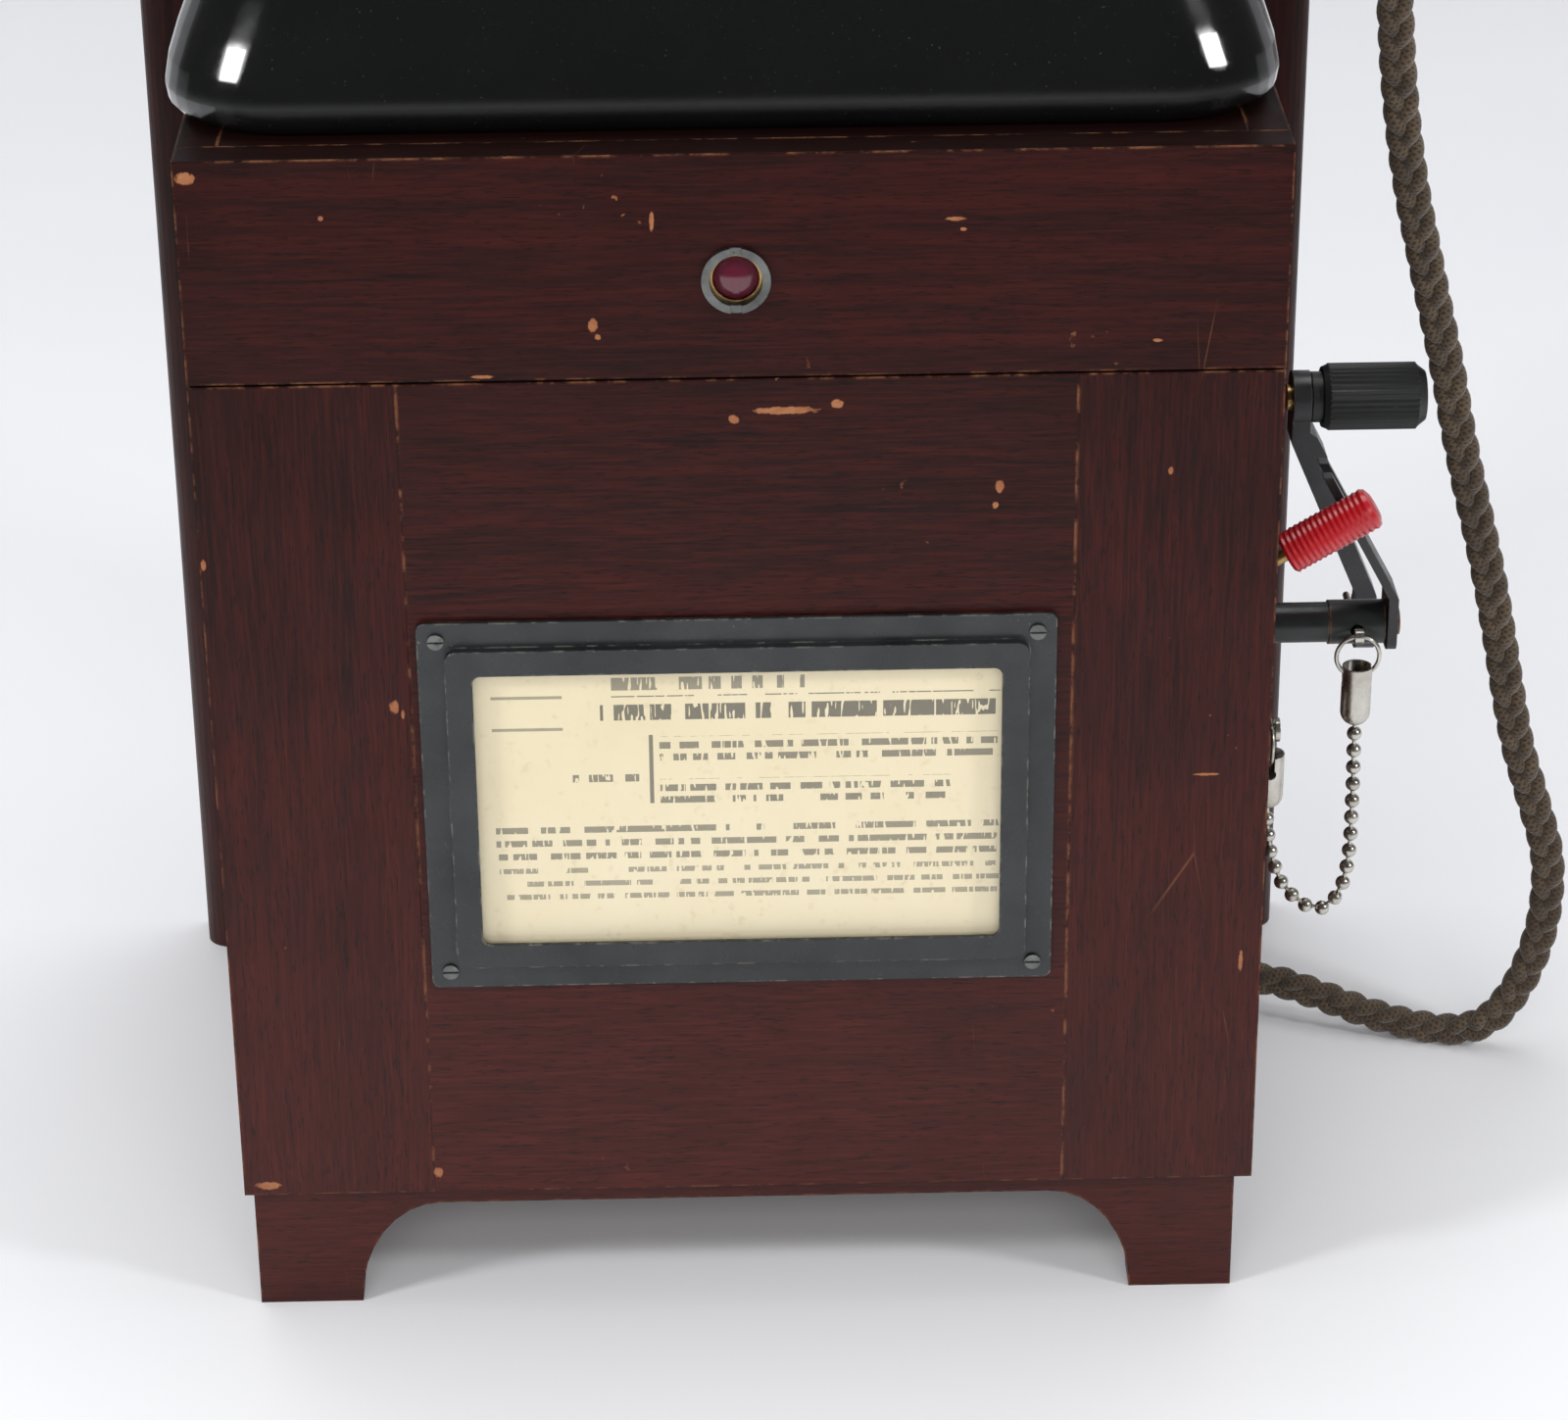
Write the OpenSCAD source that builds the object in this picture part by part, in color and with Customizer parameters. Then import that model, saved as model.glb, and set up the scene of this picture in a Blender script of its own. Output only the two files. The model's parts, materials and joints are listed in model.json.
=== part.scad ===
// Fire emergency telephone: a wooden wall case with a magneto crank, a locking
// arm, a key lever and a signal lamp, carrying a moulded telephone body.
// X runs to the right, Y to the back, Z up. The origin is the middle of the
// backboard's bottom face, which stands on the floor with the two front feet.

/* [Case] */
// Width of the case across its front
case_w = 254; // [240:1:290]
// Height of the case above its plinth
case_h = 275; // [260:1:310]
// Depth of the case from its front face to the backboard
case_d = 188; // [184:1:216]
// Thickness of the case boards
board_t = 9.5; // [8:0.5:11.5]
// Height of the plinth and its feet
plinth_h = 34; // [30:1:42]
// Height of the upper front rail
rail_h = 54.4; // [46:0.2:62]
// Width of the door's upright stiles
stile_w = 48; // [42:1:50]
// Gap between the door and the boards round it
door_gap = 0.6; // [0.4:0.1:1.2]

/* [Plinth] */
// How far the plinth stands back from the case front
plinth_set = 3; // [2:0.5:5]
// Width of a front foot on the floor
foot_w = 26; // [22:1:34]
// Width of the curved cut beside a foot
arch_rx = 21; // [14:1:26]
// Height of the board left above the cut
arch_top = 4.8; // [4:0.2:8]

/* [Backboard] */
// Width of the backboard
back_w = 311; // [300:1:340]
// Height of the backboard
back_h = 480; // [470:1:520]
// Thickness of the backboard
back_t = 16; // [14:1:22]
// Radius of the backboard's front edges
back_r = 7; // [3:0.5:9]
// Radius of the four wall fixing holes
fix_r = 2.75; // [2:0.25:3.5]
// Distance of the fixing holes from the side edges
fix_in = 12.5; // [8:0.5:13]
// Distance of the fixing holes from the top and bottom edges
fix_end = 40; // [25:1:60]

/* [Label frame] */
// Outer width of the label frame
label_w = 152; // [145:1:155]
// Outer height of the label frame
label_h = 99; // [90:1:105]
// Width of the frame's flat flange
label_flange = 6.5; // [5:0.5:8]
// Width of the frame's raised band
label_band = 6.5; // [5:0.5:8]
// Height of the frame's middle above the case bottom
label_z = 110; // [100:1:120]

/* [Lamp] */
// Outer radius of the lamp bezel
bezel_r = 8; // [7:0.25:9]
// Radius of the lamp jewel
jewel_r = 5.4; // [4.5:0.1:5.6]
// Depth of the lamp below the case top
lamp_drop = 30.3; // [24:0.1:34]

/* [Crank] */
// Distance from the spindle to the knob
crank_r = 64; // [56:1:66]
// Radius of the crank spindle
spindle_r = 3; // [2.5:0.25:3.5]
// Radius of the crank knob
knob_r = 8.7; // [7.5:0.1:9.5]
// Length of the crank knob
knob_l = 26.7; // [22:0.1:27]
// Spindle's distance behind the case front
spindle_y = 112; // [110:1:112]
// Spindle's height above the floor
spindle_z = 136; // [134:1:138]
// Running clearance of shafts in their bores
run = 0.05; // [0.02:0.01:0.08]

/* [Locking arm] */
// Rod's distance behind the case front
rod_y = 38; // [36:0.5:38]
// Rod's height above the floor
rod_z = 171; // [170:0.5:176]
// Radius of the rod
rod_r = 5; // [4.5:0.1:5.2]
// Radius of the rod's enlarged head
head_r = 5.5; // [5.3:0.1:5.8]
// Width of the locking arm's strap
arm_w = 12.5; // [10:0.5:13]
// Thickness of the locking arm's strap
arm_t = 2.4; // [2:0.1:2.8]
// Height of the arm's top above the rod
arm_up = 41.4; // [36:0.1:46]
// Radius of the locking pin
pin_r = 0.9; // [0.7:0.1:1.1]

/* [Key lever] */
// Radius of the red knob
key_r = 5.4; // [4.8:0.1:5.5]
// Length of the red knob
key_l = 24.5; // [20:0.5:26]
// Tilt of the lever above level
key_tilt = 31; // [27:1:33]

/* [Generator] */
// Teeth of the drive gear
gear_n = 60; // [56:4:60]
// Teeth of the armature pinion
pinion_n = 15; // [15:1:16]
// Gear module
gear_m = 1; // [0.9:0.05:1]
// Gap left between meshing teeth
backlash = 0.36; // [0.3:0.02:0.5]

/* [Chain] */
// Radius of a chain bead
bead_r = 1.85; // [1.6:0.05:2.1]
// Distance between beads
bead_pitch = 4.7; // [4.4:0.1:5.2]

/* [Telephone] */
// Half width of the moulded body at its skirt
body_hw = 129; // [122:1:131]
// Height of the moulded body
body_h = 91; // [84:1:98]
// Wall of the moulded body
body_wall = 4; // [3:0.5:5]
// Distance from the middle to each handset cap
cap_x = 92; // [86:1:98]
// Radius of a handset cap
cap_r = 27; // [24:0.5:29]
// Radius of the handset's grip
grip_r = 10.5; // [9:0.5:11.5]

/* [Hidden] */
$fn = 48;

wood = [0.24, 0.09, 0.08];
black = [0.07, 0.07, 0.07];
nickel = [0.68, 0.66, 0.60];
brass = [0.72, 0.57, 0.28];
steel = [0.55, 0.55, 0.55];

half_w = case_w / 2;
case_z = plinth_h;
top_z = plinth_h + case_h;
inner_x = half_w - board_t;
front_t = board_t + 0.3;
door_top = top_z - rail_h - door_gap;
door_low = case_z + 0.3;
origin_y = case_d + back_t / 2;

// Side hardware, measured from the case's right face
arm_x = half_w + 32.1;
head_x = half_w + 18;
pin_x = half_w + 24.7;
hub_x = half_w + 36;
hub_t = 5;
eye_x = half_w + 16.8;
eye_t = 4.7;
knob_x = half_w + 24.6;
knob_z = spindle_z + crank_r;
pinion_z = spindle_z - gear_m * (gear_n + pinion_n) / 2;
gear_x = inner_x - 8;
gear_t = 4;

// Key lever
key_y = 24;
key_px = half_w - 14;
key_pz = 184.5;
key_start = 22.5;

// Chain
chain_y = 30;
anchor_z = rod_z - 25.5;
chain_path = [[24.9, -26.9], [25.2, -41], [25.3, -55], [25, -63], [23.6, -71], [20.6, -76],
    [16.6, -76.6], [12.2, -73.6], [8.4, -68.6], [6, -62.6], [4.9, -58], [4.1, -50.4]];

// Hinge, a long one let in at the right-hand edge of the door
hinge_r = 2;
leaf_t = 0.8;
hinge_x = half_w - hinge_r;
hinge_y = (board_t + front_t) / 2;
hinge_seg = (door_top - door_low) / 9;

// Lamp
lamp_z = top_z - lamp_drop;
jewel_y = 1.2;

// Label
label_mid = case_z + label_z;
window_w = label_w - 2 * (label_flange + label_band);
window_h = label_h - 2 * (label_flange + label_band);
label_gap = 0.4;
flange_t = 1.2;
band_t = 3.6;

// Telephone
phone_x = -2;
phone_y = 96;
deck_z = top_z + body_h;
grip_z = deck_z + 37;
rest_x = 54;
plunger_x = 36;
plunger_r = 3;

// Bell set
gong_r = 24;
gong_z = 240;
gong_dx = 29;
bell_x = -59;
hammer_y = 134;
hammer_z = 212;

// Cord
cord_r = 3.9;
cord_sides = 10;
gland_x = 104;
gland_y = 142;
cord_points = [[gland_x, gland_y, case_z - 5], [gland_x + 1, gland_y, 22], [110, 142, 13],
    [122, 142, 10], [136, 140, 11], [148, 138, 11.5], [160, 133, 10], [174, 128, 6.5],
    [187, 124, 4.3], [198, 121, 4.3], [207, 119, 8], [214, 118, 18], [219, 118, 32],
    [221, 118, 47], [220, 118, 62], [215, 118, 79], [210, 118, 95], [206, 118, 113],
    [203, 118, 128], [199, 117, 146], [195, 117, 162], [191, 116, 177], [187.5, 116, 192],
    [184.5, 116, 206], [180, 115, 224], [176, 113, 240], [172, 110, 256], [168.5, 108, 274],
    [166, 106, 291], [164, 104, 309], [161.5, 102, 328], [158.5, 100, 347], [154.5, 98, 365],
    [149, 97, 382], [142, 96, 397], [138.5, 96, 408], [134, 96, 417],
    [128.5, 96, 421.3], [cap_x + cap_r + 3.1, 96, 421.5]];

function arc(c, r, a0, a1, n) =
    [for (i = [0:n]) c + r * [cos(a0 + (a1 - a0) * i / n), sin(a0 + (a1 - a0) * i / n)]];
function round_rect(w, h, r, n = 6) = concat(
    arc([w / 2 - r, h / 2 - r], r, 0, 90, n), arc([-w / 2 + r, h / 2 - r], r, 90, 180, n),
    arc([-w / 2 + r, -h / 2 + r], r, 180, 270, n), arc([w / 2 - r, -h / 2 + r], r, 270, 360, n));

// Moves a piece drawn from the case's front face to the part's own origin
module place() { translate([0, -origin_y, 0]) children(); }
module x_rod(x0, x1, r) { translate([x0, 0, 0]) rotate([0, 90, 0]) cylinder(h = x1 - x0, r = r); }
module y_rod(y0, y1, r) { translate([0, y0, 0]) rotate([-90, 0, 0]) cylinder(h = y1 - y0, r = r); }
module box(x0, x1, y0, y1, z0, z1) { translate([x0, y0, z0]) cube([x1 - x0, y1 - y0, z1 - z0]); }
// An outline in X and Z, given its thickness along Y
module y_plate(y0, y1) {
    translate([0, y1, 0]) rotate([90, 0, 0]) linear_extrude(y1 - y0) children();
}
// An outline in Y and Z, given its thickness along X
module x_plate(x0, x1) {
    translate([x0, 0, 0]) rotate([90, 0, 90]) linear_extrude(x1 - x0) children();
}

// ---- Wooden case ----

module case_side(s) {
    color(wood) place()
        box(s > 0 ? inner_x : -half_w, s > 0 ? half_w : -inner_x, front_t, case_d, case_z, top_z);
}
module case_side_left() { case_side(-1); }
module case_side_right() {
    difference() {
        case_side(1);
        place() {
            translate([0, spindle_y, spindle_z]) x_rod(inner_x - 1, half_w + 1, 7);
            translate([0, rod_y, rod_z]) x_rod(inner_x - 1, half_w + 1, rod_r);
            box(inner_x - 1, half_w + 1, key_y - 2.8, key_y + 2.8, key_pz - 8, key_pz + 13);
            box(hinge_x - 2.7, half_w + 1, 0, hinge_y + 2.25, door_low - 0.3, door_top + 0.3);
            box(inner_x - 1, hinge_x, 0, front_t + leaf_t + 0.05, door_low, door_top);
            translate([0, chain_y, anchor_z]) x_rod(inner_x + 3, half_w + 1, 1.5);
        }
    }
}
module case_bottom() {
    color(wood) place() difference() {
        box(-inner_x, inner_x, front_t, case_d, case_z, case_z + board_t);
        translate([gland_x, gland_y, case_z - 1]) cylinder(h = board_t + 2, r = 6);
    }
}
module case_top() {
    color(wood) place() difference() {
        box(-inner_x, inner_x, front_t, case_d, top_z - board_t, top_z);
        translate([0, 130, top_z - board_t - 1]) cylinder(h = board_t + 2, r = 12);
    }
}
module front_rail() {
    color(wood) place() difference() {
        box(-half_w, half_w, 0, front_t, top_z - rail_h, top_z);
        translate([0, -1, lamp_z]) y_rod(0, front_t + 2, bezel_r - 1.1);
    }
}

// Outline of a plinth board of length w with bracket feet, standing on Z = 0
module bracket_outline(w, foot, rx) {
    rz = plinth_h - arch_top;
    left = [for (i = [0:8]) [-w / 2 + foot + rx - rx * cos(i * 90 / 8), rz * sin(i * 90 / 8)]];
    right = [for (i = [8:-1:0]) [w / 2 - foot - rx + rx * cos(i * 90 / 8), rz * sin(i * 90 / 8)]];
    polygon(concat([[-w / 2, 0]], left, right, [[w / 2, 0], [w / 2, plinth_h], [-w / 2, plinth_h]]));
}
module plinth_front() {
    color(wood) place() translate([-1, 0, 0]) y_plate(plinth_set, plinth_set + board_t)
        bracket_outline(case_w - 6, foot_w, arch_rx);
}
module plinth_sides() {
    y0 = plinth_set + board_t;
    span = case_d - y0;
    color(wood) place() for (x = [-half_w + 2, half_w - 4 - board_t])
        translate([0, y0 + span / 2, 0]) x_plate(x, x + board_t) bracket_outline(span, 18, 20);
}
module backboard() {
    color(wood) place() difference() {
        linear_extrude(back_h) polygon(concat(
            [[-back_w / 2, case_d + back_t]],
            [[back_w / 2, case_d + back_t]],
            arc([back_w / 2 - back_r, case_d + back_r], back_r, 0, -90, 6),
            arc([-back_w / 2 + back_r, case_d + back_r], back_r, -90, -180, 6)));
        for (x = [-1, 1], z = [fix_end, back_h - fix_end])
            translate([x * (back_w / 2 - fix_in), 0, z]) y_rod(case_d - 1, case_d + back_t + 1, fix_r);
        translate([0, 0, deck_z - 40]) y_rod(case_d - 1, case_d + back_t + 1, 6);
    }
}
module generator_shelf() {
    color(wood) place() {
        box(10, inner_x, spindle_y - 45, spindle_y + 45, pinion_z - 30, pinion_z - 21);
        box(10, 19, spindle_y - 45, spindle_y + 45, case_z + board_t, pinion_z - 30);
    }
}

// ---- Door ----

module door_stile(x0, x1) { color(wood) place() box(x0, x1, 0, board_t, door_low, door_top); }
module door_stile_left() { door_stile(-half_w, -half_w + stile_w); }
module door_stile_right() {
    difference() {
        door_stile(half_w - stile_w, half_w);
        place() {
            translate([hinge_x, hinge_y, door_low - 1]) cylinder(h = case_h, r = hinge_r + 0.4);
            box(inner_x - 4.2, hinge_x, board_t - leaf_t - 0.05, board_t + 1, door_low - 1, door_top + 1);
        }
    }
}
module door_panel() {
    color(wood) place() difference() {
        box(-half_w + stile_w, half_w - stile_w, 0, board_t, door_low, door_top);
        for (p = label_holes()) translate([p[0], 0, p[1]]) y_rod(-1, 8, 1.2);
        translate([0, 0, door_top - 6]) y_rod(board_t - 4, board_t + 1, 1.5);
    }
}
// One knuckle of the long hinge with its leaf, in segment i of the door's height
module knuckle(i, y0, y1) {
    z0 = door_low + i * hinge_seg + 0.15;
    difference() {
        union() {
            translate([hinge_x, hinge_y, z0]) cylinder(h = hinge_seg - 0.3, r = hinge_r);
            box(inner_x + 0.2, hinge_x, y0, y1, z0, z0 + hinge_seg - 0.3);
        }
        translate([hinge_x, hinge_y, z0 - 1]) cylinder(h = hinge_seg + 2, r = 1 + run);
    }
}
module door_hinge_leaves() {
    color(brass) place() {
        for (i = [0:2:8]) knuckle(i, board_t - leaf_t, board_t);
        box(inner_x - 4, hinge_x - 2.6, board_t - leaf_t, board_t, door_low + 0.5, door_top - 0.5);
    }
}
module case_hinge_leaves() {
    color(brass) place() {
        for (i = [1:2:7]) knuckle(i, front_t + 0.05, front_t + leaf_t);
        box(inner_x, hinge_x - 2.7, front_t + 0.05, front_t + leaf_t, door_low + 0.5, door_top - 0.5);
    }
}
module hinge_pin() {
    color(brass) place() translate([hinge_x, hinge_y, door_low + 0.2])
        cylinder(h = door_top - door_low - 0.4, r = 1);
}
module catch_stud() {
    color(nickel) place() translate([0, 0, door_top - 6]) {
        y_rod(board_t - 4, board_t + 5, 1.5);
        translate([0, board_t + 5, 0]) sphere(r = 2.4);
    }
}

// ---- Label ----

function label_holes() = [for (x = [-1, 1], z = [-1, 1])
    [-1 + x * (label_w / 2 - 4.6), label_mid + z * (label_h / 2 - 4.6)]];
module label_frame() {
    ow = label_w - 2 * label_flange;
    oh = label_h - 2 * label_flange;
    color(black) place() translate([-1, 0, label_mid]) difference() {
        union() {
            y_plate(-label_gap - flange_t, -label_gap) polygon(round_rect(label_w, label_h, 2));
            y_plate(-label_gap - band_t, -label_gap) polygon(round_rect(ow, oh, 3));
        }
        y_plate(-6, 1) polygon(round_rect(window_w, window_h, 2));
        y_plate(-label_gap - band_t + 1, 1) polygon(round_rect(ow - 3, oh - 3, 2));
        for (p = label_holes()) translate([p[0] + 1, 0, p[1] - label_mid]) y_rod(-6, 1, 1.5);
    }
}
module label_glass() {
    y0 = -label_gap - band_t + 1;
    color([0.8, 0.85, 0.85, 0.4]) place() translate([-1, 0, label_mid])
        y_plate(y0, y0 + 1.4) polygon(round_rect(window_w + 8, window_h + 8, 1));
}
module label_card() {
    color([0.90, 0.84, 0.68]) place() difference() {
        translate([-3, 0, label_mid - 0.8]) y_plate(-0.35, -0.05)
            rotate(0.8) square([label_w - 10, label_h - 3], center = true);
        for (p = label_holes()) translate([p[0], 0, p[1]]) y_rod(-1, 1, 1.6);
    }
}
module label_screws() {
    color(steel) place() for (p = label_holes()) translate([p[0], 0, p[1]]) difference() {
        union() {
            y_rod(-label_gap - flange_t - 0.8, -label_gap - flange_t, 2);
            y_rod(-label_gap - flange_t, 8, 1.2);
        }
        box(-3, 3, -label_gap - flange_t - 1, -label_gap - flange_t - 0.4, -0.25, 0.25);
    }
}

// ---- Lamp ----

module lamp_bezel() {
    color(steel) place() translate([0, 0, lamp_z]) difference() {
        union() {
            y_rod(-1.5, 0, bezel_r);
            y_rod(0, front_t + 3, bezel_r - 1.1);
        }
        y_rod(-2, front_t + 4, bezel_r - 1.9);
        for (a = [0, 180]) rotate([0, a, 0])
            box(-1.3, 1.3, -2, -0.8, bezel_r - 2.2, bezel_r + 1);
    }
}
module lamp_retainer() {
    color(brass) place() translate([0, 0, lamp_z]) difference() {
        y_rod(jewel_y - 0.6, jewel_y + 1.4, bezel_r - 1.9);
        y_rod(0, 10, jewel_r);
    }
}
module lamp_jewel() {
    color([0.35, 0.05, 0.08]) place() translate([0, 0, lamp_z]) {
        intersection() {
            translate([0, jewel_y + 4.6, 0]) sphere(r = 7);
            y_rod(-5, jewel_y + 2, jewel_r);
        }
        y_rod(jewel_y + 1.4, jewel_y + 4, bezel_r - 2);
    }
}
module lamp_holder() {
    color(brass) place() translate([0, 0, lamp_z]) difference() {
        y_rod(front_t + 3, 40, bezel_r - 1.1);
        y_rod(front_t + 2, 37, 4.6);
    }
}
module lamp_bulb() {
    color([0.9, 0.9, 0.85]) place() translate([0, 0, lamp_z]) {
        y_rod(24, 37, 4.5);
        y_rod(15, 24, 3.4);
        translate([0, 15, 0]) sphere(r = 3.4);
    }
}

// ---- Locking arm, pin and chain ----

module lock_rod() {
    color(black) place() translate([0, rod_y, rod_z]) {
        x_rod(inner_x - 2, inner_x, 9);
        x_rod(inner_x, head_x, rod_r);
        difference() {
            x_rod(head_x, arm_x - 0.3, head_r);
            translate([pin_x, 0, 0]) y_rod(-9, 9, 1.6);
        }
        x_rod(arm_x - 0.3, arm_x + arm_t + 0.3, 2.4);
        x_rod(arm_x + arm_t + 0.3, arm_x + arm_t + 1.1, 3.4);
    }
}
module locking_arm() {
    lean = 17.6;
    corner = 8.6;
    color(black) place() translate([0, rod_y, rod_z]) difference() {
        union() {
            x_plate(arm_x, arm_x + arm_t) polygon(concat(
                arc([arm_w / 2 - 3, -head_r + 2.6], 3, 0, -90, 5),
                arc([-arm_w / 2 + 3, -head_r + 2.6], 3, -90, -180, 5),
                [[-arm_w / 2, corner], [arm_w / 2, corner]]));
            y_plate(-arm_w / 2, arm_w / 2) polygon([[arm_x, corner - 1], [arm_x + arm_t, corner - 1],
                [arm_x + arm_t, corner], [arm_x + arm_t - lean, arm_up],
                [arm_x - lean, arm_up], [arm_x, corner]]);
        }
        x_rod(arm_x - 1, arm_x + arm_t + 1, 2.4 + run);
        box(arm_x - lean - 3, arm_x, -2.6, 2.6, arm_up - 14, arm_up + 1);
    }
}
module locking_pin() {
    color(nickel) place() translate([pin_x, rod_y, rod_z]) difference() {
        union() {
            y_rod(-7.2, 15.5, pin_r);
            translate([0, -8.6, 0]) x_rod(-1.1, 1.1, 1.9);
        }
        translate([0, -8.6, 0]) x_rod(-3, 3, 1);
    }
}
module pin_ring() {
    color(nickel) place() translate([pin_x, rod_y - 8.6, rod_z - 5.3 - 0.1])
        rotate([90, 0, 0]) rotate([0, 0, 90]) rotate_extrude() translate([5.3, 0]) circle(r = 0.55, $fn = 16);
}
// A ball-chain coupling: an open cup, slotted for a ring that lies along X, above a rounded end
module coupling(h) {
    difference() {
        union() {
            translate([0, 0, -h + 3.7]) cylinder(h = h - 3.7, r = 3.7);
            translate([0, 0, -h + 3.7]) sphere(r = 3.7);
        }
        translate([0, 0, -h + 6]) cylinder(h = h, r = 3.2);
        translate([0, 0, -h - 1]) cylinder(h = 8, r = 1);
        translate([0, 0, -4.4]) x_rod(-5, 5, 1.3);
        box(-5, 5, -0.9, 0.9, -4.4, 1);
    }
}
module pin_coupling() { color(nickel) place() translate([pin_x, rod_y - 8.6, rod_z - 8]) coupling(16); }
// Distance along the chain's route to its point i
function run_to(i) = i == 0 ? 0 : run_to(i - 1) + norm(chain_path[i] - chain_path[i - 1]);
function chain_at(d, i = 1) =
    i == len(chain_path) - 1 || run_to(i) >= d
    ? chain_path[i - 1] + (d - run_to(i - 1)) * unit(chain_path[i] - chain_path[i - 1])
    : chain_at(d, i + 1);
module link(p, q) {
    translate([half_w + p[0], chain_y, rod_z + p[1]]) rotate([0, atan2(q[0] - p[0], q[1] - p[1]), 0])
        cylinder(h = norm(q - p), r = 0.5, $fn = 16);
}
module bead_chain() {
    length = run_to(len(chain_path) - 1);
    n = round(length / bead_pitch);
    color(nickel) place() {
        for (i = [0:n]) {
            p = chain_at(i * length / n);
            translate([half_w + p[0], chain_y, rod_z + p[1]]) sphere(r = bead_r, $fn = 24);
            if (i < n) link(p, chain_at((i + 1) * length / n));
        }
        link(chain_path[0], chain_path[0] + [0, 2.5]);
        link(chain_path[len(chain_path) - 1], chain_path[len(chain_path) - 1] + [0, 5]);
    }
}
module chain_anchor() {
    color(nickel) place() {
        translate([0, chain_y, anchor_z]) {
            x_rod(inner_x + 4, half_w + 5, 1.5);
            x_rod(half_w + 5, half_w + 6.2, 3);
            translate([half_w + 4.1, 0, -3.3]) rotate([0, 90, 0])
                rotate_extrude() translate([5.3, 0]) circle(r = 0.5, $fn = 16);
        }
    }
}
module anchor_coupling() {
    color(nickel) place() translate([half_w + 4.1, chain_y, anchor_z - 6.5]) rotate([0, 0, 90]) coupling(15);
}

// ---- Crank ----

module spindle_bush() {
    color(brass) place() translate([0, spindle_y, spindle_z]) difference() {
        union() {
            x_rod(inner_x - 1.5, half_w + 2, 7);
            x_rod(half_w, half_w + 2, 11);
        }
        x_rod(inner_x - 3, half_w + 4, spindle_r + run);
    }
}
module crank_spindle() {
    color(steel) place() translate([0, spindle_y, spindle_z])
        x_rod(24, hub_x + hub_t + 1, spindle_r);
}
module crank_arm() {
    color(black) place() translate([0, spindle_y, spindle_z]) difference() {
        union() {
            x_rod(hub_x, hub_x + hub_t, 7.5);
            translate([0, 0, crank_r]) x_rod(eye_x, eye_x + eye_t, 7);
            y_plate(-5, 5) polygon([[hub_x, 0], [hub_x + hub_t, 0], [hub_x + hub_t, 9],
                [eye_x + eye_t + 5.6, crank_r - 22.5], [eye_x + eye_t + 4.8, crank_r - 15],
                [eye_x + eye_t + 2, crank_r - 9.5], [eye_x + eye_t, crank_r - 8],
                [eye_x + eye_t, crank_r], [eye_x, crank_r], [eye_x, crank_r - 11], [hub_x, 8]]);
        }
        x_rod(hub_x - 1, hub_x + hub_t + 1, spindle_r);
        translate([0, 0, crank_r]) x_rod(eye_x - 1, eye_x + eye_t + 3, 2.2);
    }
}
module knob_pin() {
    end_x = knob_x + knob_l;
    color(brass) place() translate([0, spindle_y, knob_z]) difference() {
        union() {
            x_rod(eye_x - 1.2, end_x - 2.4, 2.2);
            x_rod(eye_x - 1.2, eye_x, 3.4);
            x_rod(end_x - 2.4, end_x - 0.4, 3.6);
        }
        box(end_x - 1.1, end_x, -4, 4, -0.4, 0.4);
    }
}
// The knob's outline: fine ridges round its length
module fluted(r, n) {
    polygon([for (i = [0:2 * n - 1]) (r - (i % 2) * 0.45) * [cos(i * 180 / n), sin(i * 180 / n)]]);
}
module crank_knob() {
    nose = 2.4;
    color(black) place() translate([0, spindle_y, knob_z]) difference() {
        union() {
            x_rod(eye_x + eye_t + 0.3, knob_x, 6.6);
            translate([knob_x, 0, 0]) rotate([0, 90, 0]) cylinder(h = 1.6, r1 = knob_r - 0.9, r2 = knob_r - 0.2);
            translate([knob_x + 1.6, 0, 0]) rotate([0, 90, 0])
                linear_extrude(knob_l - 1.6 - nose) fluted(knob_r, 36);
            translate([knob_x + knob_l - nose, 0, 0]) rotate([0, 90, 0])
                cylinder(h = nose, r1 = knob_r - 0.3, r2 = knob_r - 2.2);
        }
        x_rod(eye_x, knob_x + knob_l + 1, 2.2 + run);
        x_rod(knob_x + knob_l - 2.6, knob_x + knob_l + 1, 3.6 + run);
    }
}

// ---- Generator ----

function involute(a) = tan(a) * 180 / PI - a;
// Half the angle that a tooth fills at radius p
function tooth_half(n, p) =
    let (r = gear_m * n / 2, rb = r * cos(20))
    90 / n - backlash / 2 / (2 * r) * 180 / PI + involute(20) - involute(acos(min(1, rb / p)));
function gear_outline(n, tip, root) =
    let (r = gear_m * n / 2, rb = r * cos(20), rf = r - root * gear_m, ra = r + tip * gear_m,
        lo = max(rb, rf), steps = [for (i = [0:4]) lo + (ra - lo) * i / 4])
    [for (t = [0:n - 1]) let (a = t * 360 / n) for (p = concat(
        [[rf, -tooth_half(n, lo)]], [for (s = steps) [s, -tooth_half(n, s)]],
        [for (i = [4:-1:0]) [steps[i], tooth_half(n, steps[i])]], [[rf, tooth_half(n, lo)]]))
        p[0] * [cos(a + p[1]), sin(a + p[1])]];
module drive_gear() {
    color(brass) place() translate([gear_x, spindle_y, spindle_z]) difference() {
        rotate([90, 0, 90]) rotate([0, 0, -90]) linear_extrude(gear_t)
            polygon(gear_outline(gear_n, 0.8, 1.2));
        x_rod(-1, gear_t + 1, spindle_r);
        for (a = [0:60:300]) rotate([a, 0, 0]) translate([0, 0, gear_m * gear_n / 3.2])
            x_rod(-1, gear_t + 1, 5);
    }
}
module armature_pinion() {
    color(steel) place() translate([gear_x - 1, spindle_y, pinion_z]) difference() {
        rotate([90, 0, 90]) rotate([0, 0, 90 + 180 / pinion_n]) linear_extrude(gear_t + 2)
            polygon(gear_outline(pinion_n, 0.8, 1.2));
        x_rod(-1, gear_t + 3, 2);
    }
}
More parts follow.
